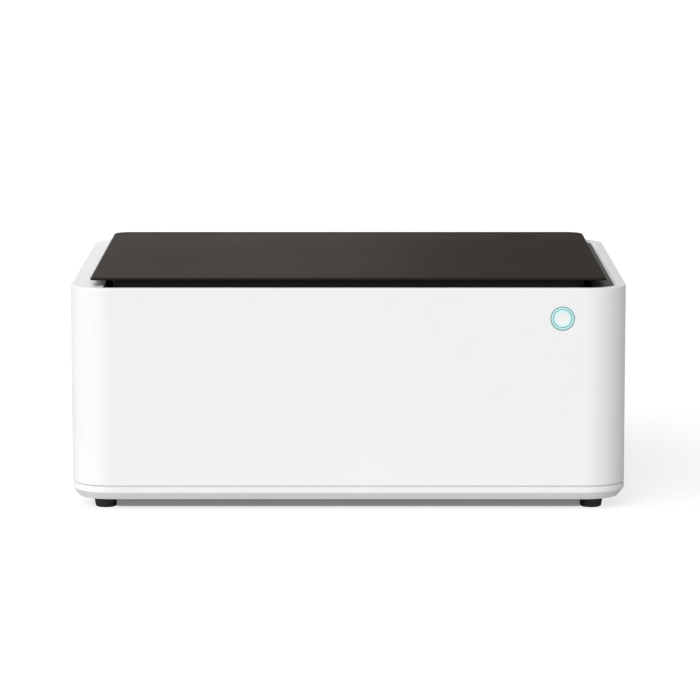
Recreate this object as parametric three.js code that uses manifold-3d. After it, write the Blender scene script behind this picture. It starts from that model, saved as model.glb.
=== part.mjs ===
// Desktop laser cutter: a white box body with a smoked, rear-hinged lid, a belt-driven
// two-axis gantry, a laser head beside a tool that lowers, and a rear exhaust fan.
// Millimetres, +Z up, front face towards -Y. The origin is on the floor, midway between the feet.

import * as THREE from 'three';
import { mergeVertices } from 'three/addons/utils/BufferGeometryUtils.js';
import Module from 'manifold-3d';

const wasm = await Module();
wasm.setup();

// ---- driving dimensions ----
const WIDTH = 553;
const DEPTH = 438;
const CORNER_R = 40;
const WALL = 3;
const GAP = 0.3;

const FOOT_H = 10.4;
const FOOT_R = 12;
const FOOT_X = 242.7;
const FOOT_Y = 189;
const BASE_Z = 10.7;
const CHAMFER_Z = 18.4;
const CHAMFER_IN = 6.5;
const SEAM_Z = 24.1;
const CASING_Z = 26.2;
const RIM_Z = 223;
const RIM_FLAT = 8;
const RIM_BEVEL = 3.5;
const RIM_BEVEL_DROP = 3.5;
const RIM_T = 6;
const MOUTH_R = CORNER_R - RIM_FLAT - RIM_BEVEL;

const LID_TOP = 231.5;
const LID_T = 2.6;
const LID_HALF_W = 256.2;
const LID_FRONT = -202;
const LID_BACK = 211.7;
const HINGE_Y = 209;
const HINGE_Z = 224.8;
const HINGE_R = 3;
const HINGE_X = 185;

const LINER_X = 252;
const LINER_FRONT = -199;
const LINER_BACK = 185;
const SHEET = 1.5;

const BUTTON_X = 211.7;
const BUTTON_Z = 193;
const BUTTON_R = 12.1;

const PARK_Y = 167;
const RAIL_Z = 150;
const BELT_Z = 118;
const PULLEY_R = 6.4;
const BELT_T = 1.4;
const BELT_X = 235;
const SHAFT_Y = 170;
const IDLER_Y = -184;

const FAN_X = 165;
const FAN_Z = 120;
const FAN_R = 40;

const HALF_W = WIDTH / 2;
const HALF_D = DEPTH / 2;
const OPEN_X = HALF_W - RIM_FLAT - RIM_BEVEL;
const OPEN_Y = HALF_D - RIM_FLAT - RIM_BEVEL;

// ---- finishes ----
const finish = (color, roughness, metalness = 0) =>
  new THREE.MeshStandardMaterial({ color, roughness, metalness });

const WHITE = finish(0xf0f0f0, 0.45);
const DARK = finish(0x3c3a38, 0.5);
const BLACK = finish(0x141414, 0.6);
const SMOKED = finish(0x4a443e, 0.15);
const RUBBER = finish(0x1a1a1a, 0.85);
const STEEL = finish(0x8a8c8e, 0.4, 0.9);
const ALUMINIUM = finish(0xb8babd, 0.4, 0.9);
const GLOW = finish(0xa8e6ea, 0.4);
const BOARD = finish(0x1f5a3a, 0.6);

// ---- solids ----
function toSolid(geometry) {
  const bare = geometry.clone();
  bare.deleteAttribute('normal');
  bare.deleteAttribute('uv');
  const merged = mergeVertices(bare, 1e-4);
  return new wasm.Manifold(new wasm.Mesh({
    numProp: 3,
    vertProperties: Float32Array.from(merged.attributes.position.array),
    triVerts: Uint32Array.from(merged.index.array),
  }));
}

function toGeometry(solid) {
  const mesh = solid.getMesh();
  const geometry = new THREE.BufferGeometry();
  geometry.setAttribute('position', new THREE.BufferAttribute(mesh.vertProperties, 3));
  geometry.setIndex(new THREE.BufferAttribute(mesh.triVerts, 1));
  geometry.computeVertexNormals();
  return geometry;
}

// A box from its two opposite corners.
function box([x0, y0, z0], [x1, y1, z1]) {
  const geometry = new THREE.BoxGeometry(x1 - x0, y1 - y0, z1 - z0);
  return toSolid(geometry.translate((x0 + x1) / 2, (y0 + y1) / 2, (z0 + z1) / 2));
}

// A rectangle with front (-Y) and back (+Y) corner radii, as a closed path.
function rectangle(x0, x1, y0, y1, front = 0, back = front) {
  const path = new THREE.Shape();
  const corner = (x, y, r, turn) => {
    if (r > 0) path.absarc(x, y, r, turn, turn + Math.PI / 2);
    else path.lineTo(x, y);
  };
  path.moveTo(x0 + front, y0);
  corner(x1 - front, y0 + front, front, -Math.PI / 2);
  corner(x1 - back, y1 - back, back, 0);
  corner(x0 + back, y1 - back, back, Math.PI / 2);
  corner(x0 + front, y0 + front, front, Math.PI);
  path.closePath();
  return path;
}

function extrude(shape, z0, z1, curveSegments = 8) {
  const options = { depth: z1 - z0, bevelEnabled: false, curveSegments };
  return toSolid(new THREE.ExtrudeGeometry(shape, options).translate(0, 0, z0));
}

// A block centred on the Z axis with rounded upright corners. Each end is [inset, height]:
// the inset moves that end's outline inwards, so unequal insets make a chamfer or a funnel.
function roundedBlock(halfX, halfY, r, low, high, curveSegments = 10) {
  const outline = rectangle(-halfX, halfX, -halfY, halfY, r);
  const mesh = extrude(outline, low[1], high[1], curveSegments).getMesh();
  const points = Float32Array.from(mesh.vertProperties);
  const clamp = (value, limit) => Math.max(-limit, Math.min(limit, value));
  for (let i = 0; i < points.length; i += 3) {
    const inset = points[i + 2] > (low[1] + high[1]) / 2 ? high[0] : low[0];
    const coreX = clamp(points[i], halfX - r);
    const coreY = clamp(points[i + 1], halfY - r);
    points[i] = coreX + (points[i] - coreX) * (r - inset) / r;
    points[i + 1] = coreY + (points[i + 1] - coreY) * (r - inset) / r;
  }
  return new wasm.Manifold(new wasm.Mesh({
    numProp: 3, vertProperties: points, triVerts: mesh.triVerts }));
}

const bodyTaper = (low, high) => roundedBlock(HALF_W, HALF_D, CORNER_R, low, high);
const bodyPrism = (inset, z0, z1) => bodyTaper([inset, z0], [inset, z1]);

// A round solid from [radius, height] points that start and end on the axis.
// axis says which way its height runs; at is the axis's zero point.
function turned(points, axis, at, segments = 24) {
  const geometry = new THREE.LatheGeometry(points.map(([r, h]) => new THREE.Vector2(r, h)), segments);
  if (axis === 'z') geometry.rotateX(Math.PI / 2);
  if (axis === 'x') geometry.rotateZ(-Math.PI / 2);
  return toSolid(geometry.translate(...at));
}

const rod = (r, h0, h1, axis, at, segments = 24) =>
  turned([[0, h0], [r, h0], [r, h1], [0, h1]], axis, at, segments);

const ring = (outer, inner, h0, h1, axis, at, segments = 24) =>
  rod(outer, h0, h1, axis, at, segments).subtract(rod(inner, h0 - 1, h1 + 1, axis, at, segments));

// A shape drawn in Y and Z, extruded along X from x0 to x1.
function extrudeAlongX(shape, x0, x1, curveSegments = 8) {
  const options = { depth: x1 - x0, bevelEnabled: false, curveSegments };
  const [x, y, z] = [0, 1, 2].map((i) => new THREE.Vector3().setComponent(i, 1));
  const turn = new THREE.Matrix4().makeBasis(y, z, x);
  return toSolid(new THREE.ExtrudeGeometry(shape, options).applyMatrix4(turn).translate(x0, 0, 0));
}

// The outline of a belt round two equal pulleys whose centres are at from and to, at height v.
function stadium(from, to, v, r) {
  const shape = new THREE.Shape();
  shape.absarc(to, v, r, -Math.PI / 2, Math.PI / 2);
  shape.absarc(from, v, r, Math.PI / 2, 3 * Math.PI / 2);
  shape.closePath();
  return shape;
}

// ---- the assembly ----
const cutter = new THREE.Group();

function add(name, solid, material) {
  const mesh = new THREE.Mesh(toGeometry(solid), material);
  mesh.name = name;
  cutter.add(mesh);
}

const SIDES = [['left', -1], ['right', 1]];

// Casing: one white moulding, open below and at the lid, with a broad bevelled rim.
const REAR_PANEL = { x0: -215, x1: -75, z0: 45, z1: 95 };

function outerCasing() {
  const mouth = (low, high) => roundedBlock(OPEN_X, OPEN_Y, MOUTH_R, low, high);
  const bevelStep = RIM_BEVEL / RIM_BEVEL_DROP;
  const hollow = bodyPrism(WALL, CASING_Z - 1, RIM_Z - RIM_T);
  const throat = mouth([0, RIM_Z - 2 * RIM_T], [0, RIM_Z + 1]);
  const bevel = mouth([0, RIM_Z - RIM_BEVEL_DROP], [-RIM_BEVEL - bevelStep, RIM_Z + 1]);
  const notch = box([-HINGE_BAR_X, OPEN_Y - 1, HINGE_BAR_Z0], [HINGE_BAR_X, HALF_D + 1, RIM_Z + 1]);
  const buttonHole = rod(BUTTON_R, -10, 10, 'y', [BUTTON_X, -HALF_D, BUTTON_Z], 32);
  const port = rod(FAN_R + 4, -10, 10, 'y', [FAN_X, HALF_D, FAN_Z], 32);
  const { x0, x1, z0, z1 } = REAR_PANEL;
  const panelHole = box([x0, HALF_D - 5, z0], [x1, HALF_D + 5, z1]);
  return bodyTaper([1, CASING_Z], [0, CASING_Z + 1])
    .add(bodyPrism(0, CASING_Z + 1, RIM_Z - 1))
    .add(bodyTaper([0, RIM_Z - 1], [1, RIM_Z]))
    .subtract(hollow)
    .subtract(throat)
    .subtract(bevel)
    .subtract(notch)
    .subtract(buttonHole)
    .subtract(port)
    .subtract(panelHole);
}

// Base frame: the lower white ring with its chamfer, and the flange that carries the bed.
const FLANGE_Z = BASE_Z + 4;
const BED_OPEN = { x: 215, front: -172, back: 158, corner: 12 };

function baseFrame() {
  const { x, front, back, corner } = BED_OPEN;
  return bodyTaper([CHAMFER_IN, BASE_Z], [0, CHAMFER_Z])
    .add(bodyPrism(0, CHAMFER_Z, SEAM_Z))
    .subtract(bodyTaper([CHAMFER_IN + WALL, FLANGE_Z], [WALL, CHAMFER_Z + WALL]))
    .subtract(bodyPrism(WALL, CHAMFER_Z + WALL - 0.1, SEAM_Z + 1))
    .subtract(extrude(rectangle(-x, x, front, back, corner), BASE_Z - 1, SEAM_Z + 1));
}

// Bottom plate: a folded steel tray under the base frame, with its walls turned down.
const TRAY = { x: 230.2, front: -200, back: 190, corner: 4, z: 1.5 };

function bottomPlate() {
  const { x, front, back, corner, z } = TRAY;
  const tray = (inset, z0, z1) =>
    extrude(rectangle(-x + inset, x - inset, front + inset, back - inset, corner), z0, z1, 3);
  return tray(0, z, FOOT_H).subtract(tray(SHEET, z - 1, FOOT_H - SHEET));
}

// A foot's outline: a small round at the floor, then a slow flare up to the base frame.
function footOutline() {
  const flat = FOOT_R - 3;
  const flare = 2;
  return [[0, 0], [flat, 0], [FOOT_R - 1.5, 1.2], [FOOT_R, FOOT_H - flare], [FOOT_R, FOOT_H], [0, FOOT_H]];
}

const GASKET_IN = 1.2;

function addBase() {
  add('outer_casing', outerCasing(), WHITE);
  add('base_frame', baseFrame(), WHITE);
  const gasket = bodyPrism(GASKET_IN, SEAM_Z + GAP, CASING_Z - GAP)
    .subtract(bodyPrism(GASKET_IN + WALL, SEAM_Z, CASING_Z));
  add('seam_gasket', gasket, DARK);
  add('bottom_plate', bottomPlate(), STEEL);
  for (const [side, sx] of SIDES) {
    for (const [end, sy] of [['front', -1], ['rear', 1]]) {
      const at = [sx * FOOT_X, sy * FOOT_Y, 0];
      add(`foot_${end}_${side}`, turned(footOutline(), 'z', at), RUBBER);
    }
  }
}

// Chamber: sheet-steel walls round the work, the bed, and loose bars that hold the work up.
const BED_Z = FLANGE_Z + GAP;
const BED = { x: 245, front: -192, back: 178, corner: 6, t: 2 };
const LINER_CORNER = 10;
const BAR = { count: 4, pitch: 80, mid: -20, halfX: 190, foot: 6, crest: 0.5, h: 10 };

function chamberLiner() {
  const wall = (inset, z0, z1) => {
    const x = LINER_X - inset;
    const outline = rectangle(-x, x, LINER_FRONT + inset, LINER_BACK - inset, LINER_CORNER - inset);
    return extrude(outline, z0, z1, 4);
  };
  const fanHole = rod(FAN_R, -5, 5, 'y', [FAN_X, LINER_BACK, FAN_Z], 32);
  return wall(0, CASING_Z, LINER_TOP).subtract(wall(SHEET, 0, LINER_TOP + 5)).subtract(fanHole);
}

function addChamber() {
  add('chamber_liner', chamberLiner(), DARK);
  const bed = extrude(rectangle(-BED.x, BED.x, BED.front, BED.back, BED.corner), BED_Z, BED_Z + BED.t, 4);
  add('work_bed', bed, ALUMINIUM);
  for (let i = 0; i < BAR.count; i++) {
    const y = (i - (BAR.count - 1) / 2) * BAR.pitch + BAR.mid;
    const z = BED_Z + BED.t + GAP;
    const corners = [[-BAR.foot, 0], [BAR.foot, 0], [BAR.crest, BAR.h], [-BAR.crest, BAR.h]];
    const section = new THREE.Shape(corners.map(([v, w]) => new THREE.Vector2(y + v, z + w)));
    add(`support_bar_${i + 1}`, extrudeAlongX(section, -BAR.halfX, BAR.halfX), STEEL);
  }
}

// Top frame: the dark moulding round the chamber's mouth and the ledges beside it. The white
// left ledge fills the rim's bevel and lies flush with it; the dark right one lies lower.
const LEDGE_X = 243;
const LEDGE_TOP = 221.5;
const LEDGE_BACK = OPEN_Y - 1.5;
const FRAME_TOP = 217;
const LINER_TOP = 212.7;
const MOUTH_X = 224;
const MOUTH_FRONT = -184;
const MOUTH_BACK = 176;
const HINGE_BAR_X = 258;
const HINGE_BAR_Z0 = 208;

function innerFrame(z0) {
  const x = LEDGE_X - GAP;
  const mouth = rectangle(-MOUTH_X, MOUTH_X, MOUTH_FRONT, MOUTH_BACK, 12);
  return extrude(rectangle(-x, x, -OPEN_Y + GAP, LEDGE_BACK, 4), z0, FRAME_TOP, 4)
    .subtract(extrude(mouth, z0 - 1, FRAME_TOP + 1));
}

// The space inside the rim, GAP clear of it, up to height top: upright, then widening with the bevel.
function mouthFill(z0, top) {
  const bevelZ = RIM_Z - RIM_BEVEL_DROP;
  const fill = (low, high) => roundedBlock(OPEN_X - GAP, OPEN_Y - GAP, MOUTH_R, low, high);
  const rise = top - bevelZ;
  if (rise <= 0) return fill([0, z0], [0, top]);
  return fill([0, z0], [0, bevelZ]).add(fill([0, bevelZ], [-rise * RIM_BEVEL / RIM_BEVEL_DROP, top]));
}

function addTopFrame() {
  const z0 = LINER_TOP + GAP;
  add('inner_frame', innerFrame(z0), BLACK);
  const leftTop = RIM_Z - GAP;
  const left = mouthFill(z0, leftTop)
    .intersect(box([-HALF_W, -HALF_D, z0], [-LEDGE_X, LEDGE_BACK, leftTop]));
  add('left_ledge', left, WHITE);
  const right = mouthFill(z0, LEDGE_TOP)
    .intersect(box([LEDGE_X, -HALF_D, z0], [OPEN_X - GAP, LEDGE_BACK, LEDGE_TOP]));
  add('right_ledge', right, DARK);
}

// Hinge: a dark bar set into the rear rim, with ears that hold two pins.
const BAR_TOP = 221.5;
const EAR_T = 4;
const LEAF_HALF = 15;
const LEAF_FRONT = 150;
const LEAF_T = 2.1;
const PIN_R = 1.5;
const PIN_BORE_R = 1.8;

function hingeBar() {
  const y0 = OPEN_Y - 1;
  let bar = box([-HINGE_BAR_X + GAP, y0, HINGE_BAR_Z0 + GAP], [HINGE_BAR_X - GAP, HALF_D, BAR_TOP]);
  for (const [, sx] of SIDES) {
    for (const side of [-1, 1]) {
      const inner = sx * HINGE_X + side * (LEAF_HALF + GAP);
      const [x0, x1] = [inner, inner + side * EAR_T].sort((a, b) => a - b);
      const stem = box([x0, HINGE_Y - 2.4, BAR_TOP - 2], [x1, HINGE_Y + HINGE_R, HINGE_Z]);
      bar = bar.add(stem).add(rod(HINGE_R, x0, x1, 'x', [0, HINGE_Y, HINGE_Z], 16));
      bar = bar.subtract(rod(PIN_BORE_R, x0 - 0.1, x1 + 0.1, 'x', [0, HINGE_Y, HINGE_Z], 16));
    }
  }
  return bar.intersect(bodyPrism(0, HINGE_BAR_Z0, LID_TOP));
}

function addHinge() {
  add('hinge_bar', hingeBar(), BLACK);
  const reach = LEAF_HALF + EAR_T;
  for (const [side, sx] of SIDES) {
    const at = [sx * HINGE_X, HINGE_Y, HINGE_Z];
    add(`hinge_pin_${side}`, rod(PIN_R, -reach, reach, 'x', at, 16), STEEL);
    const top = LID_TOP - LID_T - GAP;
    const low = [sx * HINGE_X - LEAF_HALF, LEAF_FRONT, top - LEAF_T];
    const leaf = box(low, [sx * HINGE_X + LEAF_HALF, HINGE_Y, top])
      .add(rod(HINGE_R, -LEAF_HALF, LEAF_HALF, 'x', at, 16))
      .subtract(rod(PIN_BORE_R, -LEAF_HALF - 1, LEAF_HALF + 1, 'x', at, 16));
    add(`hinge_leaf_${side}`, leaf, STEEL);
  }
}

// Lid: a smoked sheet on a black frame, with a foam seal under it.
const LID_CORNERS = { front: 4, back: 16 };
const LID_FRAME = { outer: 234, inner: 222 };
const LID_SEAL = { outer: 233, inner: 227 };
const LID_FRAME_BACK = 148;
const LID_FRAME_Z0 = 219.3;

// A flat ring under the lid, outer and inner away from the middle plane and as far round the mouth.
function lidBand({ outer, inner }, z0, z1) {
  const around = (x, back, corner) => rectangle(-x, x, MOUTH_FRONT + MOUTH_X - x, back, corner);
  return extrude(around(outer, LID_FRAME_BACK, 10), z0, z1, 4)
    .subtract(extrude(around(inner, LID_FRAME_BACK - outer + inner, 6), z0 - 1, z1 + 1, 4));
}

function addLid() {
  const { front, back } = LID_CORNERS;
  const sheet = rectangle(-LID_HALF_W, LID_HALF_W, LID_FRONT, LID_BACK, front, back);
  const bottom = LID_TOP - LID_T;
  add('lid_window', extrude(sheet, bottom, LID_TOP), SMOKED);
  add('lid_frame', lidBand(LID_FRAME, LID_FRAME_Z0, bottom - GAP), BLACK);
  add('lid_seal', lidBand(LID_SEAL, FRAME_TOP + GAP, LID_FRAME_Z0 - GAP), RUBBER);
}

// Start button: a round cap in a light ring, over its switch.
const CAP_R = 8.8;
const CAP_DEPTH = 6;
const RING_FLANGE_R = 15;
const SWITCH = { halfX: 14, halfZ: 12, front: 8, back: 18 };

function addButton() {
  const at = [BUTTON_X, -HALF_D, BUTTON_Z];
  add('button_cap', rod(CAP_R, 0, CAP_DEPTH, 'y', at, 32), WHITE);
  const bore = CAP_R + GAP;
  const lightRing = ring(BUTTON_R - GAP, bore, 0, CAP_DEPTH, 'y', at, 32)
    .add(ring(RING_FLANGE_R, bore, WALL + GAP, CAP_DEPTH, 'y', at, 32));
  add('button_light_ring', lightRing, GLOW);
  const { halfX, halfZ, front, back } = SWITCH;
  const low = [BUTTON_X - halfX, -HALF_D + front, BUTTON_Z - halfZ];
  add('button_switch', box(low, [BUTTON_X + halfX, -HALF_D + back, BUTTON_Z + halfZ]), BLACK);
}

// A box that spans near to far on side sx (-1 or 1) of the middle plane, each given as x > 0.
function sideBox(sx, near, far, [y0, z0], [y1, z1]) {
  const [x0, x1] = [sx * near, sx * far].sort((a, b) => a - b);
  return box([x0, y0, z0], [x1, y1, z1]);
}

// Gantry drive: side rails, belts, a through shaft with two pulleys, its motor, two idlers.
const Y_RAIL = { near: 241, far: 250, front: -188, back: 174, halfH: 6 };
const BELT_HALF_W = 3;
const SHAFT_R = 3;
const Y_MOTOR = { halfX: 17, half: 12.5, bore: SHAFT_R + 0.4 };

function addYDrive() {
  for (const [side, sx] of SIDES) {
    const { near, far, front, back, halfH } = Y_RAIL;
    add(`y_rail_${side}`, sideBox(sx, near, far, [front, RAIL_Z - halfH], [back, RAIL_Z + halfH]), STEEL);
    const x = sx * BELT_X;
    const inside = stadium(IDLER_Y, SHAFT_Y, BELT_Z, PULLEY_R + GAP);
    const outside = stadium(IDLER_Y, SHAFT_Y, BELT_Z, PULLEY_R + GAP + BELT_T);
    const belt = extrudeAlongX(outside, x - BELT_HALF_W, x + BELT_HALF_W)
      .subtract(extrudeAlongX(inside, x - BELT_HALF_W - 1, x + BELT_HALF_W + 1));
    add(`y_belt_${side}`, belt, RUBBER);
    add(`y_idler_${side}`, spool([x, IDLER_Y, BELT_Z], 'x'), ALUMINIUM);
  }
  const shaft = rod(SHAFT_R, -BELT_X - 5, BELT_X + 5, 'x', [0, SHAFT_Y, BELT_Z], 16)
    .add(spool([-BELT_X, SHAFT_Y, BELT_Z], 'x'))
    .add(spool([BELT_X, SHAFT_Y, BELT_Z], 'x'));
  add('y_shaft', shaft, STEEL);
  const { halfX, half, bore } = Y_MOTOR;
  const motor = box([-halfX, SHAFT_Y - half, BELT_Z - half], [halfX, SHAFT_Y + half, BELT_Z + half])
    .subtract(rod(bore, -halfX - 1, halfX + 1, 'x', [0, SHAFT_Y, BELT_Z], 16));
  add('y_motor', motor, BLACK);
}

// A pulley with two small flanges.
function spool(at, axis) {
  const flange = PULLEY_R + 1.2;
  const inner = BELT_HALF_W + 0.4;
  const outer = inner + 0.8;
  return turned([
    [0, -outer], [flange, -outer], [flange, -inner], [PULLEY_R, -inner],
    [PULLEY_R, inner], [flange, inner], [flange, outer], [0, outer]], axis, at, 18);
}

// Gantry: a beam on two end blocks, the head's rail, and the flat belt that moves the head.
const BEAM_X = 224.7;
const BEAM_Z0 = 140;
const BEAM_Z1 = 165;
const X_RAIL = { halfX: 220, front: -11.5, back: -8.3, halfH: 4 };
const BLOCK = { near: 225, far: 247, front: -30, back: 12, z0: 135 };
const CLAMP = { near: 231, far: 239, front: -25, back: -5 };
const X_AXLE_Y = PARK_Y - 3;
const X_PULLEY_X = -207;
const X_IDLER_X = 212;
const X_BELT_Z = 171;
const X_MOTOR = { half: 14, z: 179.6, h: 28 };

// An end block, grooved for its rail, with a clamp that reaches down to the belt.
function gantryBlock(sx) {
  const y = PARK_Y;
  const slot = Y_RAIL.halfH + GAP;
  const grip = BELT_Z + PULLEY_R + BELT_T + 2 * GAP;
  return sideBox(sx, BLOCK.near, BLOCK.far, [y + BLOCK.front, BLOCK.z0], [y + BLOCK.back, BEAM_Z1])
    .subtract(sideBox(sx, Y_RAIL.near - GAP, BLOCK.far + 1, [0, RAIL_Z - slot], [HALF_D, RAIL_Z + slot]))
    .add(sideBox(sx, CLAMP.near, CLAMP.far, [y + CLAMP.front, grip], [y + CLAMP.back, BLOCK.z0 + 1]));
}

// The head's motor, on a bracket that stands on the beam.
function headMotor() {
  const { half, z, h } = X_MOTOR;
  const [x0, x1] = [X_PULLEY_X - half, X_PULLEY_X + half];
  return box([x0, X_AXLE_Y - half, z], [x1, X_AXLE_Y + half, z + h])
    .add(box([x0, X_AXLE_Y + half - 4.5, BEAM_Z1 + GAP], [x1, PARK_Y + 10, z + 1]));
}

function addGantry() {
  const y = PARK_Y;
  add('gantry_beam', box([-BEAM_X, y - 8, BEAM_Z0], [BEAM_X, y + 10, BEAM_Z1]), ALUMINIUM);
  const { halfX, front, back, halfH } = X_RAIL;
  add('x_rail', box([-halfX, y + front, RAIL_Z - halfH], [halfX, y + back, RAIL_Z + halfH]), STEEL);
  for (const [side, sx] of SIDES) add(`gantry_block_${side}`, gantryBlock(sx), BLACK);
  const inside = stadium(X_PULLEY_X, X_IDLER_X, X_AXLE_Y, PULLEY_R + GAP);
  const outside = stadium(X_PULLEY_X, X_IDLER_X, X_AXLE_Y, PULLEY_R + GAP + BELT_T);
  const belt = extrude(outside, X_BELT_Z - BELT_HALF_W, X_BELT_Z + BELT_HALF_W)
    .subtract(extrude(inside, X_BELT_Z - BELT_HALF_W - 1, X_BELT_Z + BELT_HALF_W + 1));
  add('x_belt', belt, RUBBER);
  add('x_pulley', spool([X_PULLEY_X, X_AXLE_Y, X_BELT_Z], 'z'), ALUMINIUM);
  add('x_idler', spool([X_IDLER_X, X_AXLE_Y, X_BELT_Z], 'z'), ALUMINIUM);
  add('x_motor', headMotor(), BLACK);
}

// Head: a carriage plate, the laser with its fan and nozzle, a cover, and the tool slide.
const LASER_X = -12;
const TOOL_X = 20;
const TOOL_Y = PARK_Y - 38;
const HEAD_MID_Y = PARK_Y - 37;
const PLATE = { halfX: 28, front: -15.5, back: -11.8, z0: 132, z1: 179 };
const HOOK = { halfX: 8, front: -14, back: -4, t: 3.5 };
const LASER = { x0: -31, x1: 6, front: -56, back: -16, z0: 95, z1: 164 };
const WELL = { outer: 17.2, inner: 15.8, top: 172 };
const COVER = { halfX: 31.5, front: -60, back: -56.3, z0: 92, z1: 178 };
const HOLDER = { x0: 9, x1: 31, front: -30, back: -16, z0: 100, z1: 160, tubeR: 10, boreR: 5.5 };
const NOZZLE = [[0, 70], [4, 70], [6, 73], [11, 86], [11, 94.7], [0, 94.7]];
const CARTRIDGE = [[0, 84], [0.6, 84], [3.5, 92], [5.2, 97], [5.2, 158.3], [8, 158.3], [8, 168], [0, 168]];

// A box at the head whose front and back are measured from the beam's middle.
const headBox = (x0, x1, { front, back }, z0, z1) =>
  box([x0, PARK_Y + front, z0], [x1, PARK_Y + back, z1]);

function toolHolder() {
  const { x0, x1, z0, z1, tubeR, boreR } = HOLDER;
  const at = [TOOL_X, TOOL_Y, 0];
  return headBox(x0, x1, HOLDER, z0, z1)
    .add(rod(tubeR, z0 - 4, z1 - 2, 'z', at))
    .subtract(rod(boreR, z0 - 5, z1 + 1, 'z', at));
}

function addHead() {
  const plate = headBox(-PLATE.halfX, PLATE.halfX, PLATE, PLATE.z0, PLATE.z1)
    .add(headBox(-HOOK.halfX, HOOK.halfX, HOOK, PLATE.z1 - HOOK.t, PLATE.z1));
  add('carriage_plate', plate, ALUMINIUM);
  const axis = [LASER_X, HEAD_MID_Y, 0];
  const laser = headBox(LASER.x0, LASER.x1, LASER, LASER.z0, LASER.z1)
    .add(ring(WELL.outer, WELL.inner, LASER.z1 - 1, WELL.top, 'z', axis, 32));
  add('laser_module', laser, ALUMINIUM);
  add('laser_nozzle', turned(NOZZLE, 'z', axis), BLACK);
  add('laser_fan', fanRotor([LASER_X, HEAD_MID_Y, LASER.z1 + 1], 'z', 15, 6, 5, 7), BLACK);
  add('head_cover', headBox(-COVER.halfX, COVER.halfX, COVER, COVER.z0, COVER.z1), WHITE);
  add('tool_holder', toolHolder(), DARK);
  add('blade_cartridge', turned(CARTRIDGE, 'z', [TOOL_X, TOOL_Y, 0]), STEEL);
}

// A fan rotor: a hub with flat, tilted blades, turning on the given axis.
function fanRotor(at, axis, radius, hubR, height, blades) {
  let rotor = rod(hubR, 0, height, axis, at, 24);
  for (let i = 0; i < blades; i++) {
    const blade = new THREE.BoxGeometry(radius - hubR + 1, height * 1.1, 1.2);
    blade.rotateX(Math.PI / 5);
    blade.translate((radius + hubR - 1) / 2, height / 2, 0);
    blade.rotateY(i * 2 * Math.PI / blades);
    if (axis === 'z') blade.rotateX(Math.PI / 2);
    rotor = rotor.add(toSolid(blade.translate(...at)));
  }
  return rotor;
}

// Rear: fan, port collar, electronics, and the panel with its sockets and rocker switch.
const FAN_T = 20;
const FAN_Y = LINER_BACK + GAP;
const FAN_RIM = 5;
const FAN_HUB_R = 12;
const ROTOR_FRONT = 3;
const ROTOR_T = 12;
const SPOKE_T = 3;
const SPOKE_HALF_H = 2;
const PANEL_BACK = HALF_D - 1;
const PANEL_T = 2;
const { x0: PANEL_X, z0: PANEL_Z } = REAR_PANEL;

// Cut-outs in the rear panel, measured from its corner, with the depth and wall of the socket behind.
const cutOut = (x0, x1, z0, z1) =>
  ({ x0: PANEL_X + x0, x1: PANEL_X + x1, z0: PANEL_Z + z0, z1: PANEL_Z + z1 });
const INLET = { ...cutOut(14, 42, 14, 36), depth: 22, wall: 2 };
const USB = { ...cutOut(92, 105, 18, 30), depth: 18, wall: 1.2 };
const ROCKER = cutOut(56, 78, 18, 32);
const SUPPLY = { low: [-60, 187, 32], high: [80, 213, 72] };
const CIRCUIT = { low: [-60, 200, 85], high: [90, 202, 190] };

function addExhaust() {
  const reach = FAN_R + FAN_RIM;
  const spoke = FAN_T - SPOKE_T;
  const at = [FAN_X, FAN_Y, FAN_Z];
  const low = [FAN_X - FAN_R - 1, FAN_Y + spoke, FAN_Z - SPOKE_HALF_H];
  const frame = box([FAN_X - reach, FAN_Y, FAN_Z - reach], [FAN_X + reach, FAN_Y + FAN_T, FAN_Z + reach])
    .subtract(rod(FAN_R, -1, FAN_T + 1, 'y', at, 32))
    .add(rod(FAN_HUB_R, spoke, FAN_T, 'y', at))
    .add(box(low, [FAN_X + FAN_R + 1, FAN_Y + FAN_T, FAN_Z + SPOKE_HALF_H]));
  add('exhaust_fan_frame', frame, BLACK);
  const rotor = fanRotor([FAN_X, FAN_Y + ROTOR_FRONT, FAN_Z], 'y', FAN_R - 2, FAN_HUB_R, ROTOR_T, 7);
  add('exhaust_fan_rotor', rotor, BLACK);
  const y0 = FAN_Y + FAN_T + GAP;
  add('exhaust_collar', ring(FAN_R + 3.5, FAN_R - 4, 0, HALF_D - y0, 'y', [FAN_X, y0, FAN_Z], 32), DARK);
}

// A hollow socket behind its cut-out, open at the back of the machine.
function socket({ x0, x1, z0, z1, depth, wall }) {
  const floor = HALF_D - depth + 3;
  return box([x0, HALF_D - depth, z0], [x1, PANEL_BACK, z1])
    .subtract(box([x0 + wall, floor, z0 + wall], [x1 - wall, HALF_D, z1 - wall]));
}

function rearPanel() {
  const { x0, x1, z0, z1 } = REAR_PANEL;
  const front = PANEL_BACK - PANEL_T;
  const panel = box([x0 + GAP, front, z0 + GAP], [x1 - GAP, PANEL_BACK, z1 - GAP]);
  const hole = (cut) =>
    box([cut.x0 - GAP, front - 1, cut.z0 - GAP], [cut.x1 + GAP, HALF_D, cut.z1 + GAP]);
  return [INLET, USB, ROCKER].reduce((solid, cut) => solid.subtract(hole(cut)), panel);
}

function rockerCap() {
  const z = (ROCKER.z0 + ROCKER.z1) / 2;
  const side = [[-9, -4.5], [-2, -6.2], [-3.2, 0], [-0.6, 6], [-9, 4.5]];
  const shape = new THREE.Shape(side.map(([v, w]) => new THREE.Vector2(HALF_D + v, z + w)));
  return extrudeAlongX(shape, ROCKER.x0 + 1.5, ROCKER.x1 - 1.5);
}

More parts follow.
